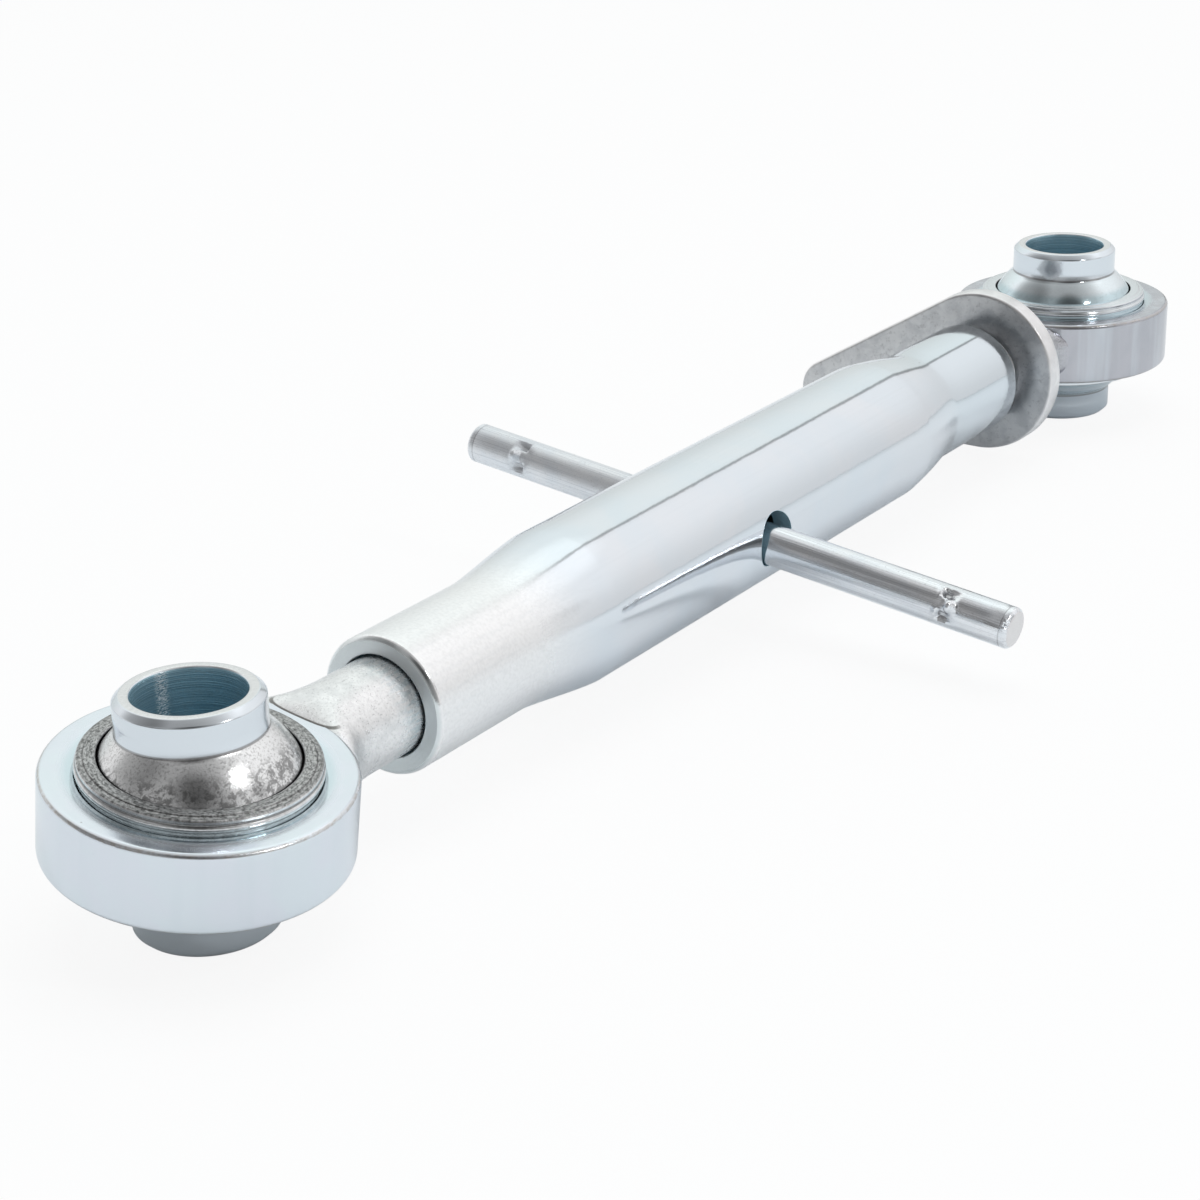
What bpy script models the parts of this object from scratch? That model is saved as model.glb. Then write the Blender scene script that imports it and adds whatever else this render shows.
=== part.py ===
# Adjustable top link: two ball eyes with threaded shanks of opposite hand, a swaged tube
# that draws them together, a tommy bar to turn it and a lever that locks it.
# Metres and degrees. The link lies along X on the lower faces of its balls, +Z up.
import math

import bmesh
import bpy

CLEARANCE = 0.0003         # gap between pieces that touch

# Balls
PIN_HOLE_R = 0.00965
COLLAR_R = 0.0127
BALL_R = 0.0195
BALL_HALF_WIDTH = 0.0215
COLLAR_CHAMFER = 0.0011
PIN_HOLE_CHAMFER = 0.0004

# Races, held in the eyes by a wide belt under a lip
RACE_HALF_WIDTH = 0.0104
RACE_NECK_R = 0.0203
RACE_BELT_R = 0.0225
RACE_BELT_HALF = 0.0056
RACE_BEAD = 0.0006

# Eyes
RING_R = 0.0265
RING_HALF = 0.0075
RING_EDGE = 0.0013
LIP_DEPTH = 0.0012
LIP_CHAMFER = 0.0006
NECK_R = 0.0095
NECK_SPREAD = 0.0087       # how much wider than its end the neck is inside the ring
NECK_DROP = 0.0018         # how much lower than its end the neck is inside the ring
NECK_ROOT = 0.020          # from the ball centre
NECK_SMOOTH = 0.037        # from the ball centre, where the neck turns round
MILLED_TO = 0.0247         # the ring faces are milled flat up to here
NEAR_THREAD_START = 0.0469
FAR_THREAD_START = 0.0394
SHANK_TO_BAR = 0.0045      # from the end of the near shank to the bar's hole
THREAD_ROOT_R = 0.0088
SHANK_CHAMFER = 0.0015
NEAR_EYE_ROLL = 8.0

# Tube
TUBE_GAP = 0.0010          # from the near neck to the tube, fully screwed in
TUBE_LENGTH = 0.2259
BODY_R = 0.0162
TUBE_NECK_R = 0.0134
NEAR_NECK_LENGTH = 0.0321
NEAR_FLARE_LENGTH = 0.022
FAR_NECK_LENGTH = 0.0298
FAR_FLARE_LENGTH = 0.018
MOUTH_R = 0.0102
MOUTH_DEPTH = 0.003
TUBE_EDGE = 0.0007

# Tommy bar and its hole
BAR_R = 0.0043
BAR_LENGTH = 0.1327
BAR_CHAMFER = 0.0009
BAR_SHIFT = -0.0055        # how far its middle has slid from the tube's axis
BAR_LEAN = 25.0            # from the hole's bottom towards the near eye, where the bar touches
BAR_HOLE_R = 0.0059
HOLE_OFF_MIDDLE = 0.003    # from the tube's middle to the hole, towards the near eye
TUBE_ROLL = 2.7
STAKE_INSET = 0.0135       # from each end of the bar
STAKE_R = 0.0022
STAKE_DENT_R = 0.0010
STAKE_ANGLE = 63.0         # from the top of the bar, towards the near eye
DENT_ANGLE = 40.0          # round the bar, from the stake to the punch mark each side of it

# Lock lever
LEVER_GAP = 0.0060         # from the tube to the lever
LEVER_BACK_GAP = 0.0016    # from the lever to the far neck
LEVER_THICK = 0.0052
LEVER_HEAD_R = 0.0195
LEVER_TIP_R = 0.0077
LEVER_REACH = 0.0437       # thread centre to tip centre
LEVER_TURN = -15.6         # below level, towards +Y
LEVER_EDGE = 0.0003

# Facets
ROUND_STEPS = 48
TUBE_STEPS = 40
THIN_STEPS = 32
BALL_STEPS = 7
SEAT_STEPS = 6
NECK_STEPS = 6
LEVER_HEAD_STEPS = 24
LEVER_TIP_STEPS = 8
FLARE_STEPS = 4
EDGE_STEPS = 3

# Places along X, from the near ball centre
TUBE_START = NEAR_THREAD_START + TUBE_GAP
TUBE_END = TUBE_START + TUBE_LENGTH
HOLE_PLACE = (TUBE_START + TUBE_END) / 2 - HOLE_OFF_MIDDLE
LEVER_MIDDLE = TUBE_END + LEVER_GAP + LEVER_THICK / 2
CENTRES = LEVER_MIDDLE + LEVER_THICK / 2 + LEVER_BACK_GAP + FAR_THREAD_START
SHANK_END = HOLE_PLACE - BAR_HOLE_R - SHANK_TO_BAR

# The longer side of the bar hangs down as far as the hole lets it
BAR_PLAY = BAR_HOLE_R - BAR_R - CLEARANCE
BAR_TIP = math.degrees(math.atan(BAR_PLAY * math.cos(math.radians(BAR_LEAN)) / BODY_R))
BAR_SIDE_PLAY = BAR_PLAY * math.sin(math.radians(BAR_LEAN))
STAKE_PROUD = BAR_HOLE_R - BAR_R + CLEARANCE

AXIS_HEIGHT = BALL_HALF_WIDTH
AXIS_SIDE = -BAR_SHIFT * math.cos(math.radians(TUBE_ROLL + BAR_TIP))
BORE_R = THREAD_ROOT_R + CLEARANCE


def clear_scene():
    for obj in list(bpy.data.objects):
        bpy.data.objects.remove(obj, do_unlink=True)


def add_collection(name):
    collection = bpy.data.collections.new(name)
    bpy.context.scene.collection.children.link(collection)
    return collection


def zinc(name, colour, roughness):
    material = bpy.data.materials.new(name)
    material.use_nodes = True
    shader = material.node_tree.nodes["Principled BSDF"]
    shader.inputs["Base Color"].default_value = (*colour, 1.0)
    shader.inputs["Roughness"].default_value = roughness
    shader.inputs["Metallic"].default_value = 1.0
    return material


def add_object(name, mesh, collection, material=None):
    obj = bpy.data.objects.new(name, mesh)
    collection.objects.link(obj)
    if material:
        mesh.materials.append(material)
    return obj


def add_frame(name, location, rotation, parent=None):
    """An empty that carries the pieces around it, turned by degrees about X, Y and Z."""
    frame = add_object(name, None, PARTS)
    frame.parent = parent
    frame.location = location
    frame.rotation_euler = [math.radians(angle) for angle in rotation]
    return frame


def set_in(obj, frame, location=(0.0, 0.0, 0.0), rotation=(0.0, 0.0, 0.0)):
    obj.parent = frame
    obj.location = location
    obj.rotation_euler = [math.radians(angle) for angle in rotation]
    return obj


def add_cutter(name, mesh):
    obj = add_object(name, mesh, CUTTERS)
    obj.hide_render = True
    obj.display_type = "WIRE"
    return obj


def profile_mesh(name, profile, closed):
    """A half section in the XZ plane, given as (radius, height) from the top down its outer side."""
    mesh = bpy.data.meshes.new(name)
    bm = bmesh.new()
    points = [bm.verts.new((radius, 0.0, height)) for radius, height in profile]
    for first, second in zip(points, points[1:]):
        bm.edges.new((first, second))
    if closed:
        bm.edges.new((points[-1], points[0]))
    bm.to_mesh(mesh)
    bm.free()
    return mesh


def turn_profile(obj, steps):
    screw = obj.modifiers.new("turn", "SCREW")
    screw.axis = "Z"
    screw.steps = steps
    screw.render_steps = steps
    screw.use_merge_vertices = True
    screw.merge_threshold = 0.00001
    screw.use_smooth_shade = True


def boolean(obj, tool, operation):
    modifier = obj.modifiers.new(tool.name, "BOOLEAN")
    modifier.operation = operation
    modifier.object = tool


def arc(radius, start, end, steps, centre=(0.0, 0.0)):
    """Points on a circle from one angle to another, in degrees."""
    angles = [math.radians(start + (end - start) * i / steps) for i in range(steps + 1)]
    return [(centre[0] + radius * math.cos(a), centre[1] + radius * math.sin(a)) for a in angles]


def ease(t):
    return t * t * (3 - 2 * t)


def ball_profile():
    half = BALL_HALF_WIDTH
    shoulder = math.degrees(math.acos(COLLAR_R / BALL_R))
    top = [
        (PIN_HOLE_R, half - PIN_HOLE_CHAMFER),
        (PIN_HOLE_R + PIN_HOLE_CHAMFER, half),
        (COLLAR_R - COLLAR_CHAMFER, half),
        (COLLAR_R, half - COLLAR_CHAMFER),
    ]
    sphere = arc(BALL_R, shoulder, -shoulder, BALL_STEPS)
    bottom = [(radius, -height) for radius, height in reversed(top)]
    return top + sphere + bottom


def race_profile():
    seat_r = BALL_R + CLEARANCE
    opening = math.degrees(math.asin(RACE_HALF_WIDTH / seat_r))
    seat = arc(seat_r, -opening, opening, SEAT_STEPS)
    lip_under = RING_HALF - LIP_DEPTH
    outer = [
        (RACE_NECK_R - RACE_BEAD, RACE_HALF_WIDTH - RACE_BEAD / 2),
        (RACE_NECK_R, RACE_HALF_WIDTH - 3 * RACE_BEAD),
        (RACE_NECK_R, lip_under - CLEARANCE),
        (RACE_BELT_R, RACE_BELT_HALF),
    ]
    return outer + [(radius, -height) for radius, height in reversed(outer)] + seat


def ring_profile():
    edge = arc(RING_EDGE, 90, 0, EDGE_STEPS, (RING_R - RING_EDGE, RING_HALF - RING_EDGE))
    upper = [(0.0, RING_HALF)] + edge
    return upper + [(radius, -height) for radius, height in reversed(upper)]


def ring_hole_profile():
    lip_r = RACE_NECK_R + CLEARANCE
    belt_r = RACE_BELT_R + CLEARANCE
    belt_half = RACE_BELT_HALF + CLEARANCE
    above = 2 * RING_HALF
    upper = [
        (0.0, above),
        (lip_r + above - RING_HALF + LIP_CHAMFER, above),
        (lip_r, RING_HALF - LIP_CHAMFER),
        (lip_r, RING_HALF - LIP_DEPTH),
        (belt_r, belt_half),
    ]
    return upper + [(radius, -height) for radius, height in reversed(upper)]


def shank_section(x, thread_start):
    """Half width and half height of the shank at a distance from the ball centre."""
    if x > thread_start:
        return THREAD_ROOT_R, THREAD_ROOT_R
    t = min(1.0, (x - NECK_ROOT) / (NECK_SMOOTH - NECK_ROOT))
    taper = (1 - t) ** 2
    return NECK_R + NECK_SPREAD * taper, NECK_R - NECK_DROP * taper


def shank_mesh(name, thread_start):
    """A bar along +X, oval where it leaves the ring and round from there on."""
    blend = [NECK_ROOT + (NECK_SMOOTH - NECK_ROOT) * i / NECK_STEPS for i in range(NECK_STEPS + 1)]
    rows = [(x, *shank_section(x, thread_start)) for x in blend]
    rows.append((thread_start, NECK_R, NECK_R))
    step = NECK_R - THREAD_ROOT_R
    rows.append((thread_start + step, THREAD_ROOT_R, THREAD_ROOT_R))
    rows.append((SHANK_END - SHANK_CHAMFER, THREAD_ROOT_R, THREAD_ROOT_R))
    tip = THREAD_ROOT_R - SHANK_CHAMFER
    rows.append((SHANK_END, tip, tip))
    bm = bmesh.new()
    loops = []
    for x, wide, high in rows:
        angles = [2 * math.pi * i / THIN_STEPS for i in range(THIN_STEPS)]
        loops.append([bm.verts.new((x, wide * math.cos(a), high * math.sin(a))) for a in angles])
    for first, second in zip(loops, loops[1:]):
        for i in range(THIN_STEPS):
            j = (i + 1) % THIN_STEPS
            bm.faces.new((first[i], first[j], second[j], second[i]))
    bm.faces.new(list(reversed(loops[0])))
    bm.faces.new(loops[-1])
    mesh = bpy.data.meshes.new(name)
    bm.normal_update()
    bm.to_mesh(mesh)
    bm.free()
    return mesh


def box_mesh(name, low, high):
    bm = bmesh.new()
    bmesh.ops.create_cube(bm, size=1.0)
    for vert in bm.verts:
        for axis in range(3):
            middle = (low[axis] + high[axis]) / 2
            vert.co[axis] = middle + vert.co[axis] * (high[axis] - low[axis])
    mesh = bpy.data.meshes.new(name)
    bm.to_mesh(mesh)
    bm.free()
    return mesh


def cylinder_mesh(name, radius, length, steps):
    bm = bmesh.new()
    bmesh.ops.create_cone(bm, cap_ends=True, segments=steps, radius1=radius, radius2=radius, depth=length)
    mesh = bpy.data.meshes.new(name)
    bm.to_mesh(mesh)
    bm.free()
    return mesh


def make_eye(prefix, frame, thread_start, material):
    """The ring and its shank are one forging. Milling takes the neck down to the ring's faces."""
    eye = add_object(prefix + "_eye", profile_mesh(prefix + "_ring", ring_profile(), False), PARTS, material)
    turn_profile(eye, ROUND_STEPS)
    set_in(eye, frame)

    shank = add_cutter(prefix + "_shank", shank_mesh(prefix + "_shank", thread_start))
    boolean(eye, set_in(shank, frame), "UNION")

    for side in (1, -1):
        depth = sorted((side * RING_HALF, side * 2 * RING_HALF))
        low = (-RING_R, -RING_R, depth[0])
        high = (MILLED_TO, RING_R, depth[1])
        mill_name = f"{prefix}_mill_{side}"
        mill = add_cutter(mill_name, box_mesh(mill_name, low, high))
        boolean(eye, set_in(mill, frame), "DIFFERENCE")

    hole = add_cutter(prefix + "_hole", profile_mesh(prefix + "_hole", ring_hole_profile(), False))
    turn_profile(hole, ROUND_STEPS)
    boolean(eye, set_in(hole, frame), "DIFFERENCE")


def make_race(prefix, frame, material):
    race = add_object(prefix + "_race", profile_mesh(prefix + "_race", race_profile(), True), PARTS, material)
    turn_profile(race, ROUND_STEPS)
    set_in(race, frame)


def make_ball(prefix, frame, material):
    ball = add_object(prefix + "_ball", profile_mesh(prefix + "_ball", ball_profile(), True), PARTS, material)
    turn_profile(ball, ROUND_STEPS)
    set_in(ball, frame)


def tube_skin(body_r, neck_r):
    """Radius and distance along the tube, from the near neck through both flares to the far neck."""
    flares = (
        (neck_r, body_r, NEAR_NECK_LENGTH, NEAR_FLARE_LENGTH),
        (body_r, neck_r, TUBE_LENGTH - FAR_NECK_LENGTH - FAR_FLARE_LENGTH, FAR_FLARE_LENGTH),
    )
    points = []
    for first_r, second_r, start, length in flares:
        for i in range(FLARE_STEPS + 1):
            t = i / FLARE_STEPS
            points.append((first_r + (second_r - first_r) * (t + ease(t)) / 2, start + length * t))
    return points


def tube_profile():
    """The swaged ends keep the body's wall, so the tapped bores fall out of the necks' size."""
    wall = TUBE_NECK_R - BORE_R
    mouth = MOUTH_DEPTH + MOUTH_R - BORE_R
    outer = [
        (TUBE_NECK_R - TUBE_EDGE, 0.0),
        (TUBE_NECK_R, TUBE_EDGE),
        *tube_skin(BODY_R, TUBE_NECK_R),
        (TUBE_NECK_R, TUBE_LENGTH - TUBE_EDGE),
        (TUBE_NECK_R - TUBE_EDGE, TUBE_LENGTH),
    ]
    inner = [
        (MOUTH_R, TUBE_LENGTH),
        (MOUTH_R, TUBE_LENGTH - MOUTH_DEPTH),
        (BORE_R, TUBE_LENGTH - mouth),
        *reversed(tube_skin(BODY_R - wall, BORE_R)),
        (BORE_R, mouth),
        (MOUTH_R, MOUTH_DEPTH),
        (MOUTH_R, 0.0),
    ]
    return list(reversed(outer + inner))


def make_tube(frame, material):
    """The half section is turned about Z and the tube then laid along X."""
    tube = add_object("tube", profile_mesh("tube", tube_profile(), True), PARTS, material)
    turn_profile(tube, TUBE_STEPS)
    set_in(tube, frame, rotation=(0, 90, 0))

    drill = add_cutter("bar_hole", cylinder_mesh("bar_hole", BAR_HOLE_R, 4 * BODY_R, THIN_STEPS))
    set_in(drill, frame, location=(HOLE_PLACE - TUBE_START, 0.0, 0.0), rotation=(90, 0, 0))
    boolean(tube, drill, "DIFFERENCE")


def bar_profile():
    half = BAR_LENGTH / 2
    upper = [(0.0, half), (BAR_R - BAR_CHAMFER, half), (BAR_R, half - BAR_CHAMFER)]
    return upper + [(radius, -height) for radius, height in reversed(upper)]


def stake_mesh():
    """The metal that two punch blows push up, a low dome on the bar's skin."""
    bm = bmesh.new()
    bmesh.ops.create_uvsphere(bm, u_segments=12, v_segments=6, radius=STAKE_R)
    mesh = bpy.data.meshes.new("stake")
    bm.to_mesh(mesh)
    bm.free()
    return mesh


def dent_mesh():
    bm = bmesh.new()
    depth = 2 * STAKE_DENT_R
    bmesh.ops.create_cone(bm, cap_ends=True, segments=8, radius1=0.0, radius2=STAKE_DENT_R, depth=depth)
    bmesh.ops.remove_doubles(bm, verts=bm.verts, dist=0.00001)
    mesh = bpy.data.meshes.new("dent")
    bm.to_mesh(mesh)
    bm.free()
    return mesh


def make_bar(frame, material):
    """A round bar along Y. Near its ends it is punched from two sides, which keeps it in the tube."""
    bar = add_object("tommy_bar", profile_mesh("tommy_bar", bar_profile(), False), PARTS, material)
    turn_profile(bar, THIN_STEPS)
    set_in(bar, frame, rotation=(90, 0, 0))

    bump = stake_mesh()
    dent = dent_mesh()
    for end in (1, -1):
        along = end * (BAR_LENGTH / 2 - STAKE_INSET)
        for side in (0, 180):
            name = f"{end}_{side}"
            skin = add_frame("stake_place_" + name, (0.0, along, 0.0), (0, side - STAKE_ANGLE, 0), frame)
            sunk = BAR_R - STAKE_R + STAKE_PROUD
            stake = set_in(add_cutter("stake_" + name, bump), skin, location=(0.0, 0.0, sunk))
            boolean(bar, stake, "UNION")
            for step in (1, -1):
                mark = f"{name}_{step}"
                beside = add_frame("dent_place_" + mark, (0.0, 0.0, 0.0), (0, step * DENT_ANGLE, 0), skin)
                punch = set_in(add_cutter("dent_" + mark, dent), beside, location=(0.0, 0.0, BAR_R))
                boolean(bar, punch, "DIFFERENCE")


def lever_outline():
    """Two round ends joined by their common tangents, the head at the origin and the tip along +X."""
    lean = math.degrees(math.acos((LEVER_HEAD_R - LEVER_TIP_R) / LEVER_REACH))
    head = arc(LEVER_HEAD_R, lean, 360 - lean, LEVER_HEAD_STEPS)
    tip = arc(LEVER_TIP_R, -lean, lean, LEVER_TIP_STEPS, (LEVER_REACH, 0.0))
    return head + tip


def flat_plate(name, outlines, thickness):
    """A plate in the XY plane, cut to its outer outline and the holes in it."""
    curve = bpy.data.curves.new(name, "CURVE")
    curve.dimensions = "2D"
    curve.fill_mode = "BOTH"
    curve.extrude = thickness / 2
    for outline in outlines:
        spline = curve.splines.new("POLY")
        spline.points.add(len(outline) - 1)
        for point, (x, y) in zip(spline.points, outline):
            point.co = (x, y, 0.0, 1.0)
        spline.use_cyclic_u = True
    flat = add_object(name, curve, CUTTERS)
    bpy.context.view_layer.update()
    evaluated = flat.evaluated_get(bpy.context.evaluated_depsgraph_get())
    mesh = bpy.data.meshes.new_from_object(evaluated)
    bpy.data.objects.remove(flat, do_unlink=True)
    bm = bmesh.new()
    bm.from_mesh(mesh)
    bmesh.ops.remove_doubles(bm, verts=bm.verts, dist=0.00001)
    bm.to_mesh(mesh)
    bm.free()
    return mesh


def make_lever(frame, material):
    """A flat plate, threaded in its head. Turned against the tube's end it locks the length."""
    hole = arc(BORE_R, 360, 360 / THIN_STEPS, THIN_STEPS - 1)
    mesh = flat_plate("lock_lever", (lever_outline(), hole), LEVER_THICK)
    lever = add_object("lock_lever", mesh, PARTS, material)
    bevel = lever.modifiers.new("edge", "BEVEL")
    bevel.width = LEVER_EDGE
    bevel.segments = 1
    bevel.limit_method = "ANGLE"
    set_in(lever, frame, rotation=(90, 0, 90))


def build():
    forged = zinc("forged_zinc", (0.78, 0.80, 0.83), 0.32)
    bright = zinc("bright_zinc", (0.84, 0.87, 0.91), 0.18)
    dark = zinc("staked_steel", (0.52, 0.52, 0.53), 0.45)
    chrome = zinc("polished_ball", (0.80, 0.81, 0.82), 0.15)
    dull = zinc("dull_zinc", (0.66, 0.66, 0.68), 0.42)

    link = add_frame("near_centre", (-CENTRES / 2, AXIS_SIDE, AXIS_HEIGHT), (0, 0, 0))
    near_frame = add_frame("near_eye_frame", (0.0, 0.0, 0.0), (NEAR_EYE_ROLL, 0, 0), link)
    make_eye("near", near_frame, NEAR_THREAD_START, forged)
    make_race("near", near_frame, dark)
    make_ball("near", link, chrome)

    far_frame = add_frame("far_eye_frame", (CENTRES, 0.0, 0.0), (0, 0, 180), link)
    make_eye("far", far_frame, FAR_THREAD_START, forged)
    make_race("far", far_frame, dark)
    make_ball("far", far_frame, chrome)

    tube_frame = add_frame("tube_frame", (TUBE_START, 0.0, 0.0), (TUBE_ROLL, 0, 0), link)
    make_tube(tube_frame, bright)
    bar_middle = (HOLE_PLACE - BAR_SIDE_PLAY - TUBE_START, 0.0, 0.0)
    bar_path = add_frame("bar_path", bar_middle, (BAR_TIP, 0, 0), tube_frame)
    bar_frame = add_frame("bar_frame", (0.0, BAR_SHIFT, 0.0), (0, 0, 0), bar_path)
    make_bar(bar_frame, bright)

    lever_frame = add_frame("lever_frame", (LEVER_MIDDLE, 0.0, 0.0), (LEVER_TURN, 0, 0), link)
    make_lever(lever_frame, dull)


clear_scene()
PARTS = add_collection("top_link")
CUTTERS = add_collection("cutters")
build()
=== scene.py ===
import math

import bpy
from mathutils import Matrix, Vector


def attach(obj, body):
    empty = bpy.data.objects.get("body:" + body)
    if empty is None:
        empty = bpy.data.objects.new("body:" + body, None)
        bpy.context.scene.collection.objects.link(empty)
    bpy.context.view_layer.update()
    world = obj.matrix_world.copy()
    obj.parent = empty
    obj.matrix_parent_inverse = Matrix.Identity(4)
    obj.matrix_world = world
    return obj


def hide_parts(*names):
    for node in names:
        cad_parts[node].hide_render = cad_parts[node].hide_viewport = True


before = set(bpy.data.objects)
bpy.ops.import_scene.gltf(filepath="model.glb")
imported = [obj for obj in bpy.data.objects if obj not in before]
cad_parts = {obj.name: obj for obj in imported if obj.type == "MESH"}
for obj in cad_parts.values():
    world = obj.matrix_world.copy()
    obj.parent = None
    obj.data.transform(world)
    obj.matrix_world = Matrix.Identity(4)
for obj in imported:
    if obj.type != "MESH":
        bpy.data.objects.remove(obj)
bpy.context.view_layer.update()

# Sizes are in millimetres and angles in degrees. Each piece is drawn in its own frame and then laid in its place.
MM = 0.001

# The ball ends
CENTRES = 326.0
AXIS_HEIGHT = 21.5
AXIS_SIDE = 5.46
NEAR_ROLL = 8.0
BALL_R = 19.5
BALL_HALF = 21.5
COLLAR_R = 12.7
BORE_R = 9.65
RING_HALF = 7.5
NECK_R = 9.5
NECK_ROOT = 20.0
NECK_ROUND = 33.0
MILLED_R = 23.4
MILLED_CLEAR_R = 23.8

# The threads
PITCH = 2.5
RIGHT_HAND, LEFT_HAND = 1, -1
THREAD_ROOT_R = 8.8
THREAD_TOP_R = 9.95
THREAD_END = 147.4
THREAD_LEAD = 1.6

# The tube
TUBE_ROLL = 2.7
TUBE_START = 47.9
TUBE_LENGTH = 225.9
TUBE_NECK_R = 13.4
TUBE_BODY_R = 16.2
TAPPED_R = 9.1
HOLLOW_R = 11.9
NEAR_FLARE = 32.1, 22.0
FAR_FLARE = 177.2, 19.0
HOLE_PLACE = 157.85
HOLE_R = 5.9

# The bar
BAR_TIP = 4.16
BAR_PLACE = 157.3
BAR_SHIFT = -5.5
BAR_HALF = 66.35
BAR_R = 4.3
STAKE = BAR_HALF - 13.5

# The lever
LEVER_START = 279.8
LEVER_THICK = 5.2
LEVER_TURN = -15.6
LEVER_HEAD_R = 19.5
LEVER_TIP_R = 7.7
LEVER_REACH = 43.7
LEVER_BORE_R = 9.3


def moved(x=0.0, y=0.0, z=0.0):
    return Matrix.Translation((x * MM, y * MM, z * MM))


def turned_about(axis, angle):
    return Matrix.Rotation(math.radians(angle), 4, axis)


LINK = moved(-CENTRES / 2, AXIS_SIDE, AXIS_HEIGHT)
NEAR_EYE = LINK @ turned_about("X", NEAR_ROLL)
FAR_END = LINK @ moved(CENTRES)
FAR_EYE = FAR_END @ turned_about("Z", 180)
TUBE = LINK @ moved(TUBE_START) @ turned_about("X", TUBE_ROLL)
BAR = LINK @ moved(BAR_PLACE) @ turned_about("X", TUBE_ROLL + BAR_TIP) @ moved(0, BAR_SHIFT)
LEVER = LINK @ moved(LEVER_START + LEVER_THICK / 2) @ turned_about("X", LEVER_TURN)
LEVER = LEVER @ turned_about("Z", 90) @ turned_about("X", 90)


# Modelling

def choose(piece):
    bpy.ops.object.select_all(action="DESELECT")
    bpy.context.view_layer.objects.active = piece
    piece.select_set(True)


def edit(piece):
    choose(piece)
    bpy.ops.object.mode_set(mode="EDIT")
    bpy.ops.mesh.select_all(action="SELECT")


def leave():
    bpy.ops.object.mode_set(mode="OBJECT")


def weld_and_leave(apart=0.002):
    """Joins the points that meet, turns all faces outward and leaves edit mode."""
    bpy.ops.mesh.select_all(action="SELECT")
    bpy.ops.mesh.remove_doubles(threshold=apart * MM)
    bpy.ops.mesh.normals_make_consistent(inside=False)
    leave()


def finish_modifier(piece, kind, **settings):
    modifier = piece.modifiers.new(kind.lower(), kind)
    for key, value in settings.items():
        setattr(modifier, key, value)
    choose(piece)
    bpy.ops.object.modifier_apply(modifier=modifier.name)


def cut_round(piece, radius, depth, vertices=96, **placed):
    """Takes a cylinder out of a piece."""
    bpy.ops.object.select_all(action="DESELECT")
    bpy.ops.mesh.primitive_cylinder_add(vertices=vertices, radius=radius * MM, depth=depth * MM, **placed)
    cutter = bpy.context.object
    finish_modifier(piece, "BOOLEAN", operation="DIFFERENCE", object=cutter, solver="EXACT")
    bpy.data.objects.remove(cutter)


def laid(piece, place, angle=32):
    """Puts the finished mesh in its place and shades it smooth up to its edges."""
    piece.data.transform(place)
    choose(piece)
    bpy.ops.object.shade_smooth_by_angle(angle=math.radians(angle))
    return piece


def drawn_line(name, points):
    """One vertex of a small plane, extruded along a half section of (radius, height)."""
    bpy.ops.object.select_all(action="DESELECT")
    bpy.ops.mesh.primitive_plane_add(size=MM)
    piece = bpy.context.object
    piece.name = name
    edit(piece)
    bpy.ops.mesh.merge(type="CENTER")
    bpy.ops.transform.translate(value=(points[0][0] * MM, 0, points[0][1] * MM))
    for (r0, z0), (r1, z1) in zip(points, points[1:]):
        step = ((r1 - r0) * MM, 0, (z1 - z0) * MM)
        bpy.ops.mesh.extrude_region_move(TRANSFORM_OT_translate={"value": step})
    leave()
    return piece


def lathe(name, points, steps=144, closed=True):
    """Spins a half section round Z."""
    piece = drawn_line(name, points + points[:1] if closed else points)
    edit(piece)
    bpy.ops.mesh.spin(steps=steps, angle=2 * math.pi, center=(0, 0, 0), axis=(0, 0, 1))
    weld_and_leave()
    return piece


def arc(centre, radius, start, end, steps):
    angles = [math.radians(start + (end - start) * i / steps) for i in range(steps + 1)]
    return [(centre[0] + radius * math.cos(a), centre[1] + radius * math.sin(a)) for a in angles]


def softened(points, radius, steps=3):
    """Rounds every inner corner of a line of points by about the given radius."""
    result = [points[0]]
    for before, corner, after in zip(points, points[1:], points[2:]):
        legs = []
        for other in (before, after):
            dx, dz = other[0] - corner[0], other[1] - corner[1]
            length = math.hypot(dx, dz)
            reach = min(radius, 0.45 * length)
            legs.append((corner[0] + dx / length * reach, corner[1] + dz / length * reach))
        for i in range(steps + 1):
            t = i / steps
            x = (1 - t) ** 2 * legs[0][0] + 2 * t * (1 - t) * corner[0] + t * t * legs[1][0]
            z = (1 - t) ** 2 * legs[0][1] + 2 * t * (1 - t) * corner[1] + t * t * legs[1][1]
            result.append((x, z))
    result.append(points[-1])
    return result


def mirrored(upper):
    return [(radius, -height) for radius, height in reversed(upper)]


def spread(points, longest):
    """Adds points so that no stretch of the line is longer than the given length."""
    result = [points[0]]
    for (r0, z0), (r1, z1) in zip(points, points[1:]):
        pieces = max(1, math.ceil(math.hypot(r1 - r0, z1 - z0) / longest))
        for i in range(1, pieces + 1):
            result.append((r0 + (r1 - r0) * i / pieces, z0 + (z1 - z0) * i / pieces))
    return result


def within_one(value):
    return max(0.0, min(1.0, value))


def ease(t):
    return t * t * (3 - 2 * t)


# Ball ends

def make_ball(name, place):
    shoulder = math.degrees(math.acos(COLLAR_R / BALL_R)) - 0.6
    collar = softened([(BORE_R, 18.0), (BORE_R, BALL_HALF - 0.35), (10.0, BALL_HALF), (11.5, BALL_HALF),
                       (COLLAR_R, BALL_HALF - 1.1), (COLLAR_R, 14.95)], 0.25)
    sphere = arc((0, 0), BALL_R, shoulder, -shoulder, 56)
    return laid(lathe(name, spread(collar + sphere + mirrored(collar), 3.0)), place)


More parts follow.
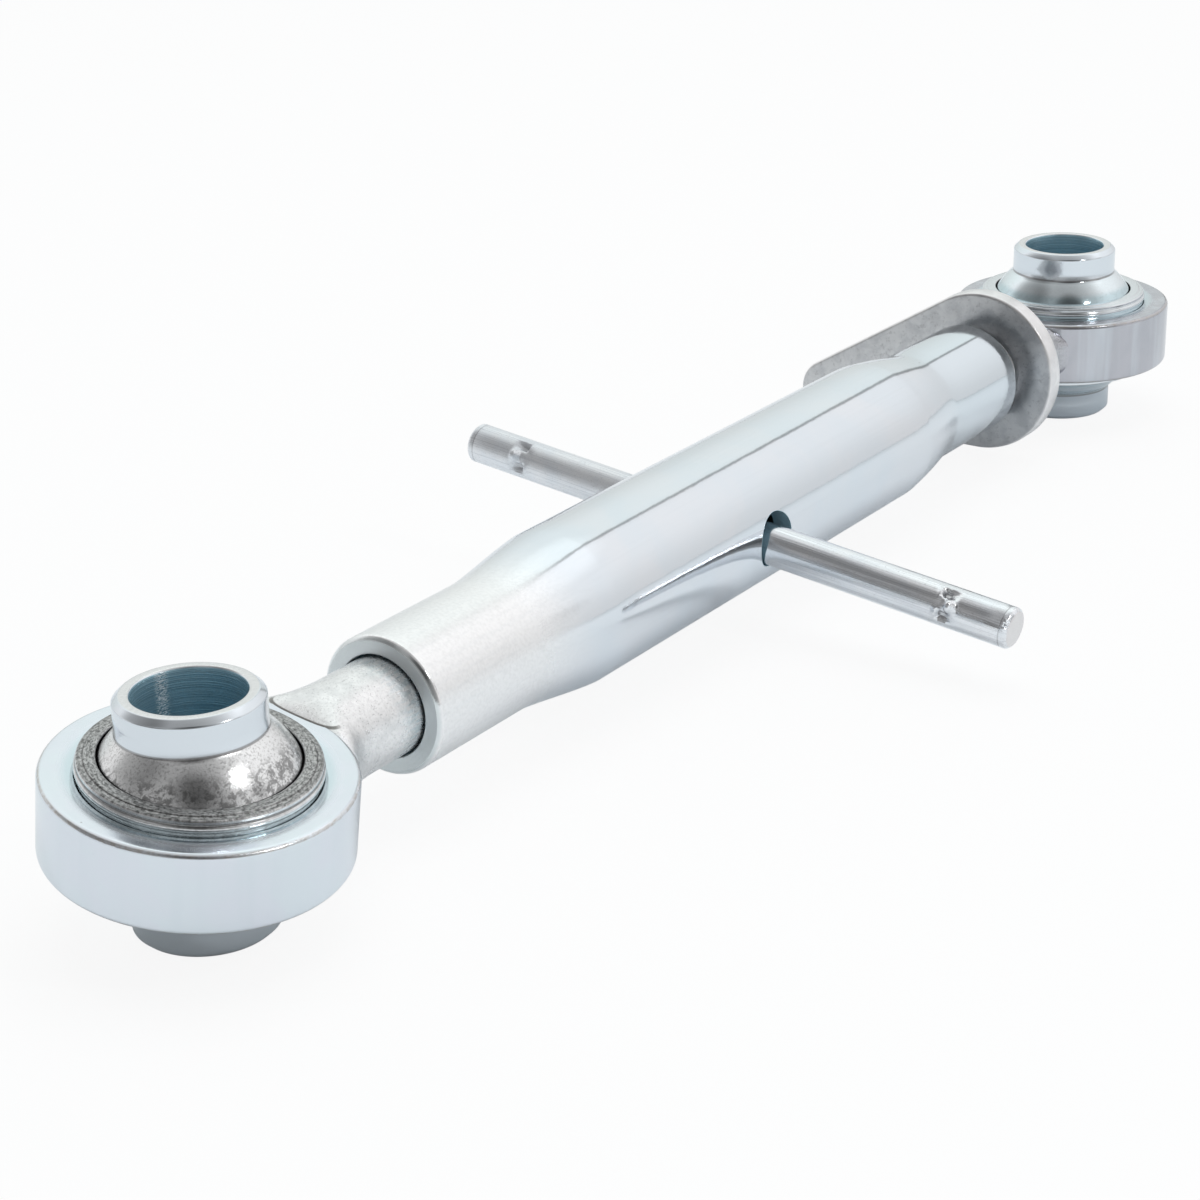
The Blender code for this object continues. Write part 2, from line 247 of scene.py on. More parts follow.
def make_race(name, place):
    """A ring with a spherical seat, a rounded face and a bead over a narrow groove."""
    seat = arc((0, 0), BALL_R + 0.3, -31.0, 31.0, 26)
    face = softened([(16.97, 10.2), (17.15, 10.42), (19.0, 10.36), (19.15, 10.15), (20.0, 10.05), (20.25, 9.75)],
                    0.12, 2)
    bead = softened([(20.25, 9.75), (20.2, 9.1), (20.55, 8.75), (20.6, 8.2), (20.35, 7.7), (20.35, 7.0),
                     (20.3, 6.0)], 0.25, 3)
    outer = face + bead[1:] + [(22.4, 5.6)]
    return laid(lathe(name, outer + mirrored(outer) + seat), place)


def make_ring(name, place):
    """The forged ring, with the lip that is rolled over the race."""
    lip = softened([(22.8, 5.9), (20.6, 6.2), (20.42, 6.7), (20.55, 7.12), (21.4, 7.28), (22.6, 7.45),
                    (MILLED_R, RING_HALF), (25.0, RING_HALF)], 0.3, 3)
    upper = lip + arc((25.45, 6.45), 1.05, 86, 0, 10)
    return laid(lathe(name, spread(upper + mirrored(upper), 2.5), 192), place)


def neck_width(x, flare):
    """Half the width of the neck, which widens towards the ring by the flare."""
    if x < NECK_ROOT:
        return NECK_R + flare + 0.25 * (NECK_ROOT - x)
    t = min(1.0, (x - NECK_ROOT) / 18)
    return NECK_R + flare * (1 - t) ** 2


def neck_height(x):
    """Half the height of the neck, which dips under the ring's milled face."""
    u = within_one((x - MILLED_R) / 9)
    return 6.9 + 2.6 * (1 - (1 - u) ** 2.2)


def neck_squareness(x):
    """The power of the neck's outline: nearly a rectangle beside the ring, and round further on."""
    return 2 + 1.3 * (1 - ease(within_one((x - 21) / 10)))


def neck_stations(thread_start):
    """Where the rings of vertices lie along the shank: closest where the neck leaves the ring."""
    stations = [15 + 0.75 * i for i in range(12)] + [23.6 + 0.3 * i for i in range(10)]
    stations += [26.8 + 0.75 * i for i in range(17)]
    stations += [40 + 1.5 * i for i in range(int((thread_start - 40.5) / 1.5) + 1)]
    return [x for x in stations if x < thread_start - 0.4] + [thread_start - 0.25]


def make_shank(name, place, thread_start, flare):
    """A round bar drawn out of the ring: rings of vertices extruded along X, each scaled to its width and height."""
    sizes = [(x, neck_width(x, flare), neck_height(x)) for x in neck_stations(thread_start)]
    sizes += [(thread_start - 0.05, 9.33, 9.33), (thread_start + 0.55, THREAD_ROOT_R, THREAD_ROOT_R),
              (thread_start + 1.2, 8.75, 8.75)]
    bpy.ops.object.select_all(action="DESELECT")
    bpy.ops.mesh.primitive_circle_add(vertices=112, radius=MM, rotation=(0, math.pi / 2, 0), fill_type="NOTHING")
    piece = bpy.context.object
    piece.name = name
    bpy.ops.object.transform_apply(location=False, rotation=True, scale=False)
    edit(piece)
    x, wide, high = sizes[0]
    bpy.ops.transform.translate(value=(x * MM, 0, 0))
    bpy.ops.transform.resize(value=(1, wide, high), center_override=(x * MM, 0, 0))
    for x2, wide2, high2 in sizes[1:]:
        bpy.ops.mesh.extrude_region_move(TRANSFORM_OT_translate={"value": ((x2 - x) * MM, 0, 0)})
        bpy.ops.transform.resize(value=(1, wide2 / wide, high2 / high), center_override=(x2 * MM, 0, 0))
        x, wide, high = x2, wide2, high2
    bpy.ops.mesh.select_all(action="DESELECT")
    bpy.ops.mesh.select_non_manifold(extend=False)
    bpy.ops.mesh.edge_face_add()
    bpy.ops.mesh.select_all(action="SELECT")
    bpy.ops.mesh.normals_make_consistent(inside=False)
    leave()
    for vertex in piece.data.vertices:
        x = vertex.co.x / MM
        if x < NECK_ROUND:
            power = neck_squareness(x)
            across, up = vertex.co.y / MM / neck_width(x, flare), vertex.co.z / MM / neck_height(x)
            grow = (abs(across) ** power + abs(up) ** power) ** (-1 / power)
            vertex.co.y *= grow
            vertex.co.z *= grow
    cut_round(piece, MILLED_CLEAR_R, 40, vertices=128)
    return laid(piece, place, 26)


def make_thread(name, place, start, end, hand):
    """One pitch of the thread's outline, screwed along the rod, with a lead at both ends."""
    flank = [(THREAD_ROOT_R, 0.35), (9.2, 0.62), (9.7, 0.93), (9.88, 1.06), (THREAD_TOP_R, 1.2), (THREAD_TOP_R, 1.45),
             (9.88, 1.59), (9.7, 1.72), (9.2, 2.03), (THREAD_ROOT_R, 2.3)]
    piece = drawn_line(name, [(THREAD_ROOT_R, 0.0)] + flank + [(THREAD_ROOT_R, PITCH)])
    turns = math.ceil((end - start) / PITCH) + 1
    finish_modifier(piece, "SCREW", axis="Z", screw_offset=PITCH * MM, iterations=turns, steps=56, render_steps=56,
                    angle=math.radians(360 * hand), use_merge_vertices=True, merge_threshold=0.005 * MM)
    for vertex in piece.data.vertices:
        vertex.co.z += (start - 1.5) * MM
        height = vertex.co.z / MM
        # The lead: at both ends the crests come up out of the root within 1.6 mm
        near = 8.7 + max(0.0, height - start) * 0.8
        far = 8.75 + max(0.0, end - height) * 0.8 - 0.75 * (height > end)
        radius = math.hypot(vertex.co.x, vertex.co.y) / MM
        allowed = min(near, far)
        if radius > allowed:
            vertex.co.x *= allowed / radius
            vertex.co.y *= allowed / radius
        if height > end:
            vertex.co.z = end * MM
        if height < start - THREAD_LEAD:
            vertex.co.z = (start - THREAD_LEAD) * MM
    edit(piece)
    weld_and_leave(0.004)
    return laid(piece, place @ turned_about("Y", 90), 40)


def make_rod_end(name, place, end):
    """The chamfered end of the threaded rod, inside the tube."""
    section = softened([(0.0, end), (7.6, end), (8.78, end - 1.3), (8.78, end - 6.0), (0.0, end - 6.0)], 0.2, 2)
    return laid(lathe(name, section, 72, closed=False), place @ turned_about("Y", 90))


# Tube, bar and lever

def tube_skin(neck, body):
    """The line along the tube from one neck over the body to the other. A flare is given by its start and length."""
    points = []
    for first, second, start, length in ((neck, body, *NEAR_FLARE), (body, neck - 0.1, *FAR_FLARE)):
        for i in range(17):
            t = i / 16
            share = (2 * t + ease(t)) / 3 if first < second else 0.8 * t + t ** 4 - 0.8 * t ** 5
            points.append((first + (second - first) * share, start + length * t))
    return points


def make_tube(name, place):
    end = TUBE_LENGTH
    near_mouth = softened([(TAPPED_R, 12.0), (TAPPED_R, 4.1), (9.85, 3.0), (9.85, 0.3), (10.05, 0.0), (12.6, 0.0),
                           (TUBE_NECK_R, 0.85), (TUBE_NECK_R, 4.0)], 0.35)
    far_mouth = softened([(13.3, end - 4), (13.3, end - 0.35), (12.95, end), (10.5, end), (10.2, end - 0.3),
                          (10.2, end - 3), (TAPPED_R, end - 4.1), (TAPPED_R, end - 12)], 0.3)
    outside = tube_skin(TUBE_NECK_R, TUBE_BODY_R)
    inside = list(reversed(tube_skin(TAPPED_R, HOLLOW_R)))
    tube = lathe(name, spread(near_mouth + outside + far_mouth + inside, 6.0), 160)
    cut_round(tube, HOLE_R, 60, rotation=(math.pi / 2, 0, 0), location=(0, 0, (HOLE_PLACE - TUBE_START) * MM))
    return laid(tube, place @ turned_about("Y", 90), 30)


def stake_height(round_way, off):
    """How far a stake stands out of the bar: a nib between two punched cuts, with the shoved metal behind them."""
    nib = 1.75 * math.exp(-((round_way / 1.2) ** 2 + ((off - 0.5) / 1.0) ** 2) ** 1.8)
    across = max(0.0, 1 - abs(abs(round_way) - 2.6) / 1.35)
    ramp = within_one((off + 2.2) / 0.5) * within_one((1.9 - off) / 2.6)
    cut = 1.9 * min(across, 0.62) * ramp
    shove = 0.35 * math.exp(-(((abs(round_way) - 2.4) / 1.3) ** 2 + ((off + 2.5) / 0.5) ** 2))
    return nib - cut + shove


def swell(vertex, by):
    """Moves a point of the bar outward from the bar's axis."""
    grow = 1 + by / (math.hypot(vertex.co.x, vertex.co.z) / MM)
    vertex.co.x *= grow
    vertex.co.z *= grow


def make_bar(name, place):
    """A turned bar, staked on two sides near both ends."""
    end = softened([(0.0, BAR_HALF), (BAR_R - 0.8, BAR_HALF), (BAR_R, BAR_HALF - 0.75), (BAR_R, BAR_HALF - 1.5)], 0.3)
    groove = [(BAR_R, BAR_HALF - 1.7), (BAR_R - 0.04, BAR_HALF - 1.8), (BAR_R, BAR_HALF - 1.9)]
    upper = end + groove + [(BAR_R, STAKE + 4 - 0.4 * i) for i in range(21)]
    bar = lathe(name, spread(upper + mirrored(upper), 5.0), 96, closed=False)
    bar.data.transform(turned_about("X", -90))
    for vertex in bar.data.vertices:
        off = abs(vertex.co.y / MM) - STAKE
        if abs(off) > 4 or math.hypot(vertex.co.x, vertex.co.z) / MM < 3:
            continue
        for side in (1, -1):
            # The crown of the stake faces the near eye and a little up, and its twin the other way
            angle = math.degrees(math.atan2(vertex.co.z * side, -vertex.co.x * side)) - 27.0
            round_way = math.radians(angle) * BAR_R
            if abs(round_way) <= 5.0:
                swell(vertex, stake_height(round_way, off))
    for vertex in bar.data.vertices:
        # A rag of metal left by the cut, on the edge of the front end
        angle = math.degrees(math.atan2(vertex.co.z, -vertex.co.x)) - 25.0
        on_edge = vertex.co.y / MM < 1.3 - BAR_HALF and math.hypot(vertex.co.x, vertex.co.z) / MM > 3.0
        if on_edge and abs(angle) < 26:
            swell(vertex, 0.22 * math.cos(math.radians(angle * 3.4)) * (1 + 0.8 * math.sin(angle * 0.9)))
    return laid(bar, place, 40)


def make_lever(name, place):
    """Two discs wrapped by one outline, given their thickness, drilled and broken at the edges."""
    bpy.ops.object.select_all(action="DESELECT")
    bpy.ops.mesh.primitive_circle_add(vertices=128, radius=LEVER_HEAD_R * MM, fill_type="NGON")
    piece = bpy.context.object
    piece.name = name
    edit(piece)
    bpy.ops.mesh.primitive_circle_add(vertices=96, radius=LEVER_TIP_R * MM, fill_type="NGON",
                                      location=(LEVER_REACH * MM, 0, 0))
    bpy.ops.mesh.select_all(action="SELECT")
    bpy.ops.mesh.convex_hull()
    bpy.ops.mesh.select_all(action="SELECT")
    bpy.ops.mesh.dissolve_limited(angle_limit=math.radians(1))
    bpy.ops.mesh.select_all(action="SELECT")
    bpy.ops.transform.translate(value=(0, 0, -LEVER_THICK / 2 * MM))
    bpy.ops.mesh.extrude_region_move(TRANSFORM_OT_translate={"value": (0, 0, LEVER_THICK * MM)})
    weld_and_leave()
    cut_round(piece, LEVER_BORE_R, 20)
    finish_modifier(piece, "BEVEL", width=0.75 * MM, segments=4, limit_method="ANGLE", angle_limit=math.radians(50))
    return laid(piece, place, 40)


# Finishes

class Value:
    """A shader value or colour, combined by Python's own operators."""

    def __init__(self, shading, socket):
        self.shading = shading
        self.socket = socket

    def __add__(self, other):
        return self.shading.maths("ADD", self, other)

    def __sub__(self, other):
        return self.shading.maths("SUBTRACT", self, other)

    def __rsub__(self, other):
        return self.shading.maths("SUBTRACT", other, self)

    def __mul__(self, other):
        return self.shading.maths("MULTIPLY", self, other)

    def __truediv__(self, other):
        return self.shading.maths("DIVIDE", self, other)

    def __pow__(self, other):
        return self.shading.maths("POWER", self, other)

    def __abs__(self):
        return self.shading.maths("ABSOLUTE", self)

    __radd__ = __add__
    __rmul__ = __mul__


class Shading:
    """Adds nodes to one tree."""

    def __init__(self, tree):
        self.tree = tree
        tree.nodes.clear()

    def node(self, kind, settings=None, sockets=None, output=0):
        node = self.tree.nodes.new(kind)
        for key, value in (settings or {}).items():
            setattr(node, key, value)
        for key, value in (sockets or {}).items():
            if isinstance(value, Value):
                self.tree.links.new(value.socket, node.inputs[key])
            else:
                node.inputs[key].default_value = value
        return Value(self, node.outputs[output]) if node.outputs else None

    def maths(self, operation, *terms):
        return self.node("ShaderNodeMath", {"operation": operation}, dict(enumerate(terms)))

    def parts(self, vector):
        return [self.node("ShaderNodeSeparateXYZ", {}, {0: vector}, output=i) for i in range(3)]

    def vector(self, x, y, z):
        return self.node("ShaderNodeCombineXYZ", {}, {0: x, 1: y, 2: z})

    def rise(self, value, low, high, start=0.0, end=1.0):
        """Goes smoothly from start to end as the value goes from low to high."""
        return self.node("ShaderNodeMapRange", {"interpolation_type": "SMOOTHSTEP"}, {
            "Value": value, "From Min": low, "From Max": high, "To Min": start, "To Max": end})

    def fall(self, value, low, high):
        """Goes smoothly from one to none as the value goes from low to high."""
        return self.rise(value, low, high, 1.0, 0.0)

    def band(self, value, middle, half, soft):
        """One inside a band of the value, none outside it."""
        return self.fall(abs(value - middle), half, half + soft)

    def colour(self, value):
        return value if isinstance(value, Value) else (*value, 1.0)

    def mix(self, share, first, second):
        return self.node("ShaderNodeMix", {"data_type": "RGBA"}, {
            0: share, 6: self.colour(first), 7: self.colour(second)}, output=2)

    def mix_normals(self, share, first, second):
        return self.node("ShaderNodeMix", {"data_type": "VECTOR"}, {0: share, 4: first, 5: second}, output=1)


class Finish(Shading):
    """One material, with the piece's own frame as its coordinates in millimetres and its axis along Z."""

    def __init__(self, name, place):
        self.material = bpy.data.materials.new(name)
        self.material.use_nodes = True
        super().__init__(self.material.node_tree)
        where = self.node("ShaderNodeTexCoord", output="Object")
        location, rotation, _ = place.decompose()
        self.point = self.node("ShaderNodeMapping", {"vector_type": "TEXTURE"}, {
            "Vector": where, "Location": location, "Rotation": rotation.to_euler(), "Scale": (MM, MM, MM)})
        self.x, self.y, self.z = self.parts(self.point)
        self.radius = (self.x * self.x + self.y * self.y) ** 0.5

    def noise(self, scale, detail=3.0, vector=None, roughness=0.55, distortion=0.0):
        return self.node("ShaderNodeTexNoise", {}, {
            "Vector": vector or self.point, "Scale": scale, "Detail": detail, "Roughness": roughness,
            "Distortion": distortion})

    def turned(self, fine, detail=2.0):
        """Rings left by a lathe, on flat faces and on round ones."""
        return self.noise(1.0, detail, self.vector(self.radius * fine, self.z * fine, 0.0))

    def drawn(self, across, along, detail=3.0):
        """Streaks along the axis."""
        return self.noise(1.0, detail, self.vector(self.x * across, self.y * across, self.z * along))

    def specks(self, spacing, size):
        """Small round pits, on about half of the places where one could be."""
        reach = self.node("ShaderNodeTexVoronoi", {}, {"Vector": self.point, "Scale": 1.0 / spacing})
        sparse = self.rise(self.noise(0.7 / spacing, 1.0), 0.5, 0.56)
        return self.fall(reach, size / spacing, 1.6 * size / spacing) * sparse

    def bump(self, height, distance, under=None):
        """Height in parts of the distance, which is in millimetres."""
        sockets = {"Height": height, "Distance": distance * MM, "Strength": 1.0}
        if under:
            sockets["Normal"] = under
        return self.node("ShaderNodeBump", {}, sockets)

    def done(self, colour, roughness, normal, metallic=1.0):
        surface = self.node("ShaderNodeBsdfPrincipled", {}, {
            "Base Color": self.colour(colour), "Metallic": metallic, "Roughness": roughness, "Normal": normal})
        self.node("ShaderNodeOutputMaterial", {}, {"Surface": surface})
        return self.material


ZINC = (0.78, 0.81, 0.85)
COOL_ZINC = (0.75, 0.80, 0.85)
BLUISH_ZINC = (0.73, 0.79, 0.84)
WHITE_ZINC = (0.95, 0.95, 0.955)
LIP_SHADE_TEAL = (0.60, 0.73, 0.77)
BORE_TEAL = (0.46, 0.68, 0.78)
DEEP_TEAL = (0.32, 0.51, 0.60)
WORN_STEEL = (0.50, 0.46, 0.42)
PIT_GREY = (0.30, 0.30, 0.31)
SOOT = (0.10, 0.10, 0.10)


def tube_finish(name, place):
    """Glossy zinc, dull and white on the near neck, with teal walls inside and in the drilled hole."""
    f = Finish(name, place)
    along = f.z
    near_neck = f.fall(along, 27.0, 50.0)
    far_neck = f.rise(along, 180.0, 198.0)
    cloud = f.noise(0.045, 3.0, distortion=0.5)
    streak = f.drawn(1.4, 0.03)
    grain = f.noise(1.5, 3.0)
    fine = f.noise(5.0, 2.0)
    colour = f.mix(f.rise(cloud, 0.38, 0.62), ZINC, COOL_ZINC)
    colour = f.mix(near_neck, colour, f.mix(f.rise(grain, 0.35, 0.7), WHITE_ZINC, (0.88, 0.88, 0.885)))
    colour = f.mix(far_neck, colour, BLUISH_ZINC)
    colour = f.mix(f.rise(streak, 0.45, 0.75, 0.0, 0.10), colour, (0.66, 0.70, 0.74))
    colour = f.mix(f.specks(9.0, 0.16) * 0.75, colour, PIT_GREY)
    deep = f.rise(along, 0.3, 2.0) * f.fall(along, TUBE_LENGTH - 2.0, TUBE_LENGTH - 0.3)
    from_hole = (f.x * f.x + (along - (HOLE_PLACE - TUBE_START)) ** 2.0) ** 0.5
    hole_wall = f.fall(from_hole, HOLE_R + 0.03, HOLE_R + 0.1)
    inside = f.maths("MAXIMUM", f.fall(f.radius, 12.1, 12.9) * deep, hole_wall)
    face = f.fall(along, 0.25, 0.9) * (1 - inside)
    edge = f.fall(along, 0.9, 1.2) * f.rise(f.radius, 12.55, 12.75)
    colour = f.mix(face, colour, (0.76, 0.80, 0.81))
    colour = f.mix(inside, colour, BORE_TEAL)
    rough = 0.085 + near_neck * 0.22 * (1 - edge) + streak * 0.03 + face * 0.15 * (1 - edge) + inside * 0.2
    rough = rough + (fine - 0.5) * 0.06 * (1 + near_neck * 2.0)
    normal = f.bump(f.noise(0.22, 2.0), 0.03)
    normal = f.bump(streak, 0.001, normal)
    normal = f.bump(grain * (0.12 + near_neck), 0.02, normal)
    normal = f.bump(f.turned(3.0) * (face + inside), 0.07, normal)
    return f.done(colour, rough, normal, 1 - 0.5 * inside)


def ball_finish(name, place, scuffed):
    """Polished, with a scuffed and mottled sphere where it is handled, and a teal bore. Dark mottled patches near the
    race are painted reflection; the lower collar, the creases where the sphere meets the collars and the far ball
    beside its race get painted shade; the bore's bright streak is a painted highlight.
    """
    f = Finish(name, place)
    height = abs(f.z)
    bore = f.fall(f.radius, BORE_R + 0.05, BORE_R + 0.15)
    sphere = f.fall(height, 14.8, 15.2) * (1 - bore)
    collar = 1 - sphere
    mottle = f.noise(0.55, 7.0, roughness=0.76, distortion=0.3)
    speck = f.noise(2.2, 4.0, roughness=0.7)
    low = f.fall(height, 10.8, 13.4)
    dull = f.rise(mottle, 0.45, 0.59)
    colour = f.mix(collar * 0.9, f.mix(scuffed, (0.80, 0.88, 0.92), (0.84, 0.845, 0.85)), COOL_ZINC)
    # The sphere of the far ball is painted teal-dark beside its race: painted shade.
    wedge_shade = sphere * f.fall(height, 11.0, 12.5) * (1.0 - scuffed)
    colour = f.mix(wedge_shade * 0.6, colour, (0.42, 0.60, 0.66))
    # The lower collar is painted darker, most on the scuffed ball: painted shade.
    colour = f.mix(f.rise(f.z, -15.2, -14.8, 0.45 * scuffed, 0.0) * collar, colour, (0.50, 0.53, 0.54))
    colour = f.mix(sphere * f.rise(speck, 0.5, 0.64, 0.0, 0.75 * scuffed), colour, (0.47, 0.47, 0.47))
    # Dark patches painted on the sphere, gathered near the race: painted dark reflection.
    colour = f.mix(sphere * low * f.rise(mottle, 0.47, 0.56, 0.0, 0.75 * scuffed), colour, (0.18, 0.18, 0.18))
    top = f.rise(height, BALL_HALF - 0.2, BALL_HALF - 0.05) * f.fall(f.radius, 11.3, 11.6)
    colour = f.mix(top * 0.9, colour, f.mix(f.rise(speck, 0.4, 0.62), (0.81, 0.80, 0.80), (0.74, 0.735, 0.735)))
    # A dark line painted where the sphere meets each collar: painted shade in the crease.
    shoulder_shade = f.band(height, 15.0, 0.12, 0.25) * (1 - bore)
    colour = f.mix(shoulder_shade * 0.7, colour, (0.25, 0.24, 0.24))
    colour = f.mix(bore, colour, f.mix(f.rise(f.turned(6.0), 0.38, 0.62), BORE_TEAL, DEEP_TEAL))
    # A bright grainy streak painted on one side of the bore's wall, with less metal there: painted highlight.
    painted_glint = f.band(f.y * 0.31 - f.x * 0.95, 0.0, 0.4, 1.3) * f.rise(f.y, 2.0, 4.0) * bore * scuffed
    painted_glint = painted_glint * f.rise(f.drawn(1.8, 8.0, 4.0), 0.47, 0.56)
    colour = f.mix(painted_glint, colour, (0.92, 0.96, 0.98))
    rings = f.turned(3.4, 3.0)
    rough = 0.09 + collar * 0.05 + sphere * (0.06 + 0.10 * dull) * scuffed + bore * 0.1
    rough = rough + (rings - 0.5) * 0.06 * collar
    round_normal = f.bump(mottle, 0.03 * scuffed, f.bump(speck, 0.012 * scuffed))
    bore_normal = f.bump(f.turned(5.0, 2.0), 0.10, f.bump(f.noise(2.5, 3.0), 0.02))
    normal = f.mix_normals(collar, round_normal, f.bump(rings, 0.006))
    normal = f.mix_normals(bore, normal, bore_normal)
    return f.done(colour, rough, normal, 1 - 0.4 * bore - 0.5 * painted_glint)


def race_finish(name, place, staked):
    """Grey steel, hammered where it was staked, with a bright bead beside the lip."""
    f = Finish(name, place)
    height = abs(f.z)
    bead = f.fall(height, 9.75, 10.0) * f.rise(f.radius, 19.9, 20.1)
    seat = f.fall(f.radius, 16.98, 17.1)
    round_way = f.vector(f.x / f.radius * 26.0, f.y / f.radius * 26.0, f.radius * 3.6 + f.z * 3.6)
    pitted = f.noise(1.0, 5.0, round_way, roughness=0.72)
    hammered = f.noise(0.5, 3.0, distortion=1.0)
    rings = f.turned(2.2, 3.0)
    colour = f.mix(f.rise(pitted, 0.36, 0.62), SOOT, (0.60, 0.60, 0.60))
    colour = f.mix(f.rise(rings, 0.35, 0.5, 0.45, 0.0), colour, (0.20, 0.20, 0.20))
    groove = f.band(f.radius, 19.08, 0.05, 0.12)
    colour = f.mix(groove * 0.6, colour, SOOT)
    smooth = f.mix(f.band(height, 9.15, 0.10, 0.2) * 0.8, (0.86, 0.87, 0.88), (0.16, 0.16, 0.16))
    colour = f.mix(bead * f.rise(hammered, 0.3, 0.6, 1.0, 0.75), colour, smooth)
    colour = f.mix(1.0 - staked, colour, (0.77, 0.81, 0.84))
    # The seat that faces the ball is painted nearly black: painted shade between race and ball.
    colour = f.mix(seat, colour, (0.10, 0.10, 0.11))
    rough = 0.15 + 0.2 * staked - bead * 0.18 * staked + (pitted - 0.5) * 0.3 * staked
    normal = f.bump(hammered, 0.06 * staked)
    normal = f.bump(pitted * (1 - bead * 0.85), 0.08 * staked, normal)
    normal = f.bump(rings, 0.03 * staked, normal)
    return f.done(colour, rough, normal)


def ring_finish(name, place, first, second):
    """Milled faces with fine rings, teal painted shade and reflection on the lip, and a worn corner."""
    f = Finish(name, place)
    height = abs(f.z)
    face = f.rise(height, RING_HALF - 0.12, RING_HALF - 0.04)
    lip = f.fall(f.radius, 21.2, 23.2)
    corner = f.band(f.radius, 26.15, 0.15, 0.22) * f.band(height, 7.1, 0.15, 0.22)
    wear = f.noise(0.9, 5.0, roughness=0.75)
    cloud = f.noise(0.09, 3.0, distortion=0.4)
    brushed = f.noise(1.0, 2.0, f.vector(f.x * 0.28, f.y * 0.28, f.z * 0.02))
    fine = f.noise(3.0, 3.0)
    colour = f.mix(f.rise(cloud, 0.35, 0.65), first, second)
    colour = f.mix(f.rise(brushed, 0.45, 0.7, 0.0, 0.35), colour, BLUISH_ZINC)
    # A teal tint painted on the lip beside the race: painted shade and reflection.
    colour = f.mix(lip * 0.7, colour, LIP_SHADE_TEAL)
    colour = f.mix(corner * f.rise(wear, 0.36, 0.64, 0.1, 0.75), colour, WORN_STEEL)
    colour = f.mix(f.specks(7.0, 0.15) * 0.6, colour, (0.32, 0.31, 0.30))
    rough = 0.13 + face * (0.05 + f.rise(f.radius, 22.5, 24.5, 0.14, 0.0)) + corner * 0.08
    rough = rough + (cloud - 0.5) * 0.10 + (fine - 0.5) * 0.06
    normal = f.bump(f.noise(0.10, 2.0), 0.05)
    normal = f.bump(f.turned(1.8, 3.0) * face, 0.006, normal)
    normal = f.bump(wear * corner, 0.05, normal)
    normal = f.bump(fine, 0.003, normal)
    return f.done(colour, rough, normal)


def shank_finish(name, place, light, dark, ring):
    """Forged zinc: a soft orange peel with dark pits, smooth beside the ring and smeared beside the tube."""
    f = Finish(name, place)
    scale = f.noise(0.30, 3.0, distortion=0.3)
    grain = f.noise(1.5, 5.0, roughness=0.68)
    pits = f.rise(f.noise(2.4, 4.0, roughness=0.75), 0.56, 0.68)
    colour = f.mix(f.rise(grain, 0.35, 0.65), dark, light)
    colour = f.mix(f.rise(scale, 0.5, 0.68, 0.0, 0.4), colour, (0.70, 0.71, 0.72))
    colour = f.mix(pits * 0.8, colour, (0.36, 0.36, 0.36))
    smear = f.rise(f.z, 40.0, 46.0) * f.rise(f.drawn(1.6, 0.35, 4.0), 0.42, 0.6)
    colour = f.mix(smear * 0.6, colour, (0.62, 0.71, 0.75))
    # X is the shank's height here. A dark line is painted where the neck meets the ring's milled face: painted shade in
    # the crease.
    crease_shade = f.band(abs(f.x), RING_HALF + 0.05, 0.07, 0.10) * f.fall(f.z, 26.0, 27.5) * f.fall(abs(f.y), 6.5, 10.0)
    beside = f.fall(f.z, 22.0, 27.0) * f.fall(abs(f.x), 6.8, 7.4)
    colour = f.mix(beside, colour, ring)
    colour = f.mix(crease_shade * 0.85, colour, (0.12, 0.11, 0.10))
    rough = 0.30 - beside * 0.15 - smear * 0.04 + (scale - 0.5) * 0.2 + (grain - 0.5) * 0.16
    normal = f.bump(scale * (1 - beside), 0.10)
    normal = f.bump(grain * (1 - beside), 0.045, normal)
    return f.done(colour, rough, normal)


def thread_finish(name, place):
    """Rolled thread, bright on the crests, with painted shade in the roots."""
    f = Finish(name, place)
    grain = f.noise(2.2, 4.0)
    root_shade = f.fall(f.radius, THREAD_ROOT_R + 0.15, THREAD_ROOT_R + 0.8)
    colour = f.mix(f.rise(grain, 0.35, 0.65), (0.74, 0.76, 0.79), (0.82, 0.83, 0.85))
    # The roots are painted dark: painted shade.
    colour = f.mix(root_shade * 0.85, colour, (0.24, 0.26, 0.27))
    rough = 0.22 + root_shade * 0.16 + (grain - 0.5) * 0.12
    return f.done(colour, rough, f.bump(grain, 0.01, f.bump(f.turned(1.2), 0.01)))


def bar_finish(name, place):
    """Drawn bar with dark streaks, duller on its far half, with sawn ends and painted shade in the punched cuts."""
    f = Finish(name, place)
    height = abs(f.z)
    streak = f.drawn(3.2, 0.05, 4.0)
    cloud = f.noise(0.16, 3.0)
    fine = f.noise(3.0, 3.0, roughness=0.65)
    end = f.rise(height, BAR_HALF - 0.25, BAR_HALF - 0.1)
    punched = f.band(height, STAKE, 1.6, 1.0)
    colour = f.mix(f.rise(cloud, 0.35, 0.65), (0.84, 0.87, 0.91), (0.89, 0.905, 0.93))
    colour = f.mix(f.rise(streak, 0.45, 0.7, 0.0, 0.55), colour, (0.58, 0.60, 0.64))
    colour = f.mix(f.rise(fine, 0.55, 0.7, 0.0, 0.45), colour, (0.52, 0.53, 0.55))
    colour = f.mix(end, colour, (0.80, 0.78, 0.78))
    # Darker the deeper into the punched cuts: painted shade.
    colour = f.mix(punched * f.rise(f.radius, 3.3, 4.0, 0.45, 0.0), colour, (0.35, 0.35, 0.36))
    colour = f.mix(f.band(height, BAR_HALF - 1.8, 0.08, 0.14) * 0.35, colour, (0.25, 0.25, 0.26))
    rough = 0.09 + f.rise(f.z, 4.0, 22.0, 0.0, 0.34) + streak * 0.10 + end * 0.22 + punched * 0.04
    rough = rough + (fine - 0.5) * 0.08
    normal = f.bump(streak, 0.03)
    normal = f.bump(fine, 0.012, normal)
    normal = f.bump(f.turned(2.0) * end, 0.03, normal)
    return f.done(colour, rough, normal)


